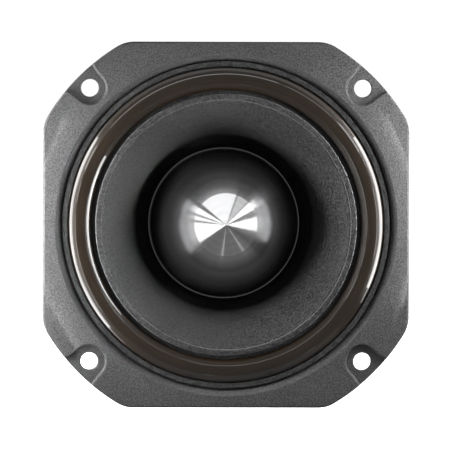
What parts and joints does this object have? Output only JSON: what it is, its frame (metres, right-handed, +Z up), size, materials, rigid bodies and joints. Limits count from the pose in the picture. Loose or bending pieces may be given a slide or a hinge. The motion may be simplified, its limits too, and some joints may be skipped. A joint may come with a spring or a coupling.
{
  "type": "car tweeter",
  "caption": "Square-flanged bullet horn tweeter with a glossy trim ring, polished bullet, covered ferrite motor and rear push terminals.",
  "frame": {"origin": "centre of the flange's rear face, the plane that lies against the panel", "axes": "+Y along the sound axis towards the rear, so the face looks to -Y; +Z up; +X to the right seen from the front"},
  "size_m": [0.0952, 0.0751, 0.0952],
  "materials": {
    "powder_coat": "matte",
    "ring_brown": "gloss",
    "spun_aluminium": "polished",
    "black_plastic": "satin",
    "red_plastic": "gloss",
    "black_steel": "satin",
    "zinc_steel": "satin",
    "spring_steel": "satin",
    "plated_iron": "satin",
    "ferrite": "matte",
    "titanium": "satin",
    "polyimide": "gloss",
    "copper": "satin",
    "brass": "satin",
    "foam": "matte",
    "card": "matte",
    "red_insulation": "satin",
    "black_insulation": "satin"
  },
  "bodies": {
    "chassis": {"front_frame": "powder_coat", "horn_flare": "powder_coat", "rear_cover": "powder_coat", "trim_ring": "ring_brown", "bullet": "spun_aluminium", "bullet_spider": "black_plastic", "diaphragm_ring": "black_plastic", "terminal_body": "black_plastic", "terminal_plate": "black_plastic", "assembly_screw_1": "black_steel", "assembly_screw_2": "black_steel", "assembly_screw_3": "black_steel", "assembly_screw_4": "black_steel", "bullet_screw": "zinc_steel", "cover_screw_1": "zinc_steel", "cover_screw_2": "zinc_steel", "cover_screw_3": "zinc_steel", "cover_screw_4": "zinc_steel", "terminal_screw_1": "zinc_steel", "terminal_screw_2": "zinc_steel", "terminal_spring_1": "spring_steel", "terminal_spring_2": "spring_steel", "top_plate": "plated_iron", "yoke": "plated_iron", "magnet": "ferrite", "surround": "polyimide", "coil_lead_1": "copper", "coil_lead_2": "copper", "solder_lug_1": "brass", "solder_lug_2": "brass", "terminal_contact_1": "brass", "terminal_contact_2": "brass", "pole_pad": "foam", "throat_gasket": "card", "lead_wire_1": "red_insulation", "lead_wire_2": "black_insulation"},
    "diaphragm": {"dome_diaphragm": "titanium", "coil_former": "polyimide", "voice_coil": "copper"},
    "red_button": {"push_button_red": "red_plastic"},
    "black_button": {"push_button_black": "black_plastic"}
  },
  "joints": [
    {"name": "diaphragm_travel", "type": "slide", "parent": "chassis", "child": "diaphragm", "axis": [0, -1, 0], "range_m": [-0.00035, 0.00035], "stiffness_N_per_m": 2000, "deforming": ["surround", "coil_lead_1", "coil_lead_2"]},
    {"name": "red_button_press", "type": "slide", "parent": "chassis", "child": "red_button", "axis": [0, -1, 0], "range_m": [0, 0.0025], "stiffness_N_per_m": 600, "springref_m": -0.002, "deforming": ["terminal_spring_1"]},
    {"name": "black_button_press", "type": "slide", "parent": "chassis", "child": "black_button", "axis": [0, -1, 0], "range_m": [0, 0.0025], "stiffness_N_per_m": 600, "springref_m": -0.002, "deforming": ["terminal_spring_2"]}
  ]
}
